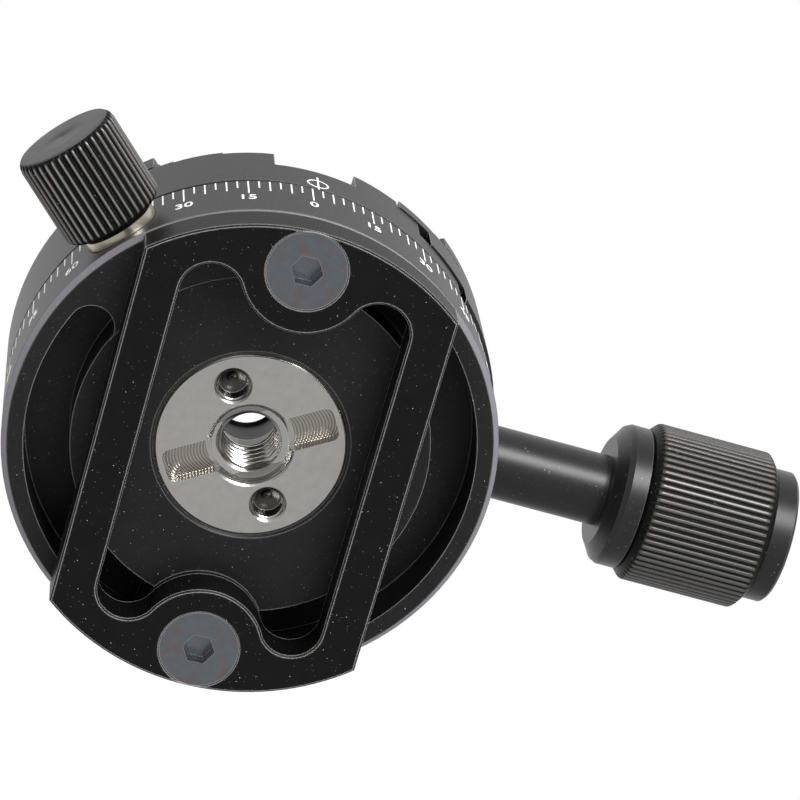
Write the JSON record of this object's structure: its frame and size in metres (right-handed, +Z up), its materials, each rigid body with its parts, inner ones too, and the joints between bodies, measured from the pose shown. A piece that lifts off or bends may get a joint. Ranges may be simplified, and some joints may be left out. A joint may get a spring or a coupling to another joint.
{
  "type": "panoramic tripod head",
  "caption": "Round panning base with a degree scale, a side lock knob and a dovetail plate clamp on top, worked by a knurled side knob.",
  "frame": {"origin": "On the pan axis, in the plane of the foot face that stands on the tripod platform.", "axes": "+Z up along the pan axis, +X towards the clamp knob, -Y towards the zero of the scale."},
  "size_m": [0.123, 0.0737, 0.04],
  "materials": {
    "black_anodised": "satin black anodised, faint bead-blast speckle",
    "knob_black": "satin black anodised, turned and knurled",
    "cap_grey": "dark grey turned end face",
    "stainless": "turned stainless steel with faint tool rings",
    "zinc_steel": "bluish zinc plate, slightly stained",
    "black_steel": "black oxide",
    "spring_steel": "drawn wire",
    "raw_aluminium": "machined, uncoated",
    "brass_bush": "turned, dulled",
    "bearing_plastic": "natural bearing plastic",
    "level_green": "tinted vial glass"
  },
  "bodies": {
    "base": {"foot_frame": "black_anodised", "foot_screws": "zinc_steel", "base_disc": "black_anodised", "tripod_bush": "stainless", "retaining_ring": "raw_aluminium", "lower_thrust_washer": "bearing_plastic", "lock_bush": "brass_bush"},
    "head": {"pan_body": "black_anodised", "pivot_drum": "raw_aluminium", "drum_screws": "black_steel", "upper_thrust_washer": "bearing_plastic", "plate_stop_pin": "stainless", "level_cup": "raw_aluminium", "level_glass": "level_green", "guide_pins": "stainless", "jaw_spring": "spring_steel"},
    "jaw": {"movable_jaw": "black_anodised"},
    "clamp": {"clamp_screw": "stainless", "clamp_sleeve": "knob_black", "clamp_washer": "stainless", "knob_collar": "knob_black", "clamp_knob": "knob_black", "knob_end_cap": "knob_black"},
    "brake": {"brake_shoe": "brass_bush"},
    "lock": {"lock_screw": "stainless", "lock_knob": "knob_black", "lock_knob_cap": "cap_grey"}
  },
  "joints": [
    {"name": "pan", "type": "hinge", "parent": "base", "child": "head", "pos_m": [0, 0, 0.0199], "axis": [0, 0, 1], "continuous": true},
    {"name": "jaw_slide", "type": "slide", "parent": "head", "child": "jaw", "axis": [1, 0, 0], "range_m": [-0.0003, 0.0047], "deforming": ["jaw_spring"]},
    {"name": "clamp_knob_turn", "type": "hinge", "parent": "jaw", "child": "clamp", "pos_m": [0.0688, 0, 0.027], "axis": [1, 0, 0], "range_deg": [-109, 1693]},
    {"name": "brake_slide", "type": "slide", "parent": "base", "child": "brake", "axis": [-0.7325, -0.6807, 0], "range_m": [0, 0.0008]},
    {"name": "lock_knob_turn", "type": "hinge", "parent": "brake", "child": "lock", "pos_m": [-0.03187, -0.02961, 0.0133], "axis": [-0.7325, -0.6807, 0], "range_deg": [0, 360]}
  ],
  "couplings": [
    {"joint": "clamp_knob_turn", "follows": "jaw_slide", "rad_per_m": 6283.2},
    {"joint": "brake_slide", "follows": "lock_knob_turn", "m_per_rad": 0.00012732}
  ]
}
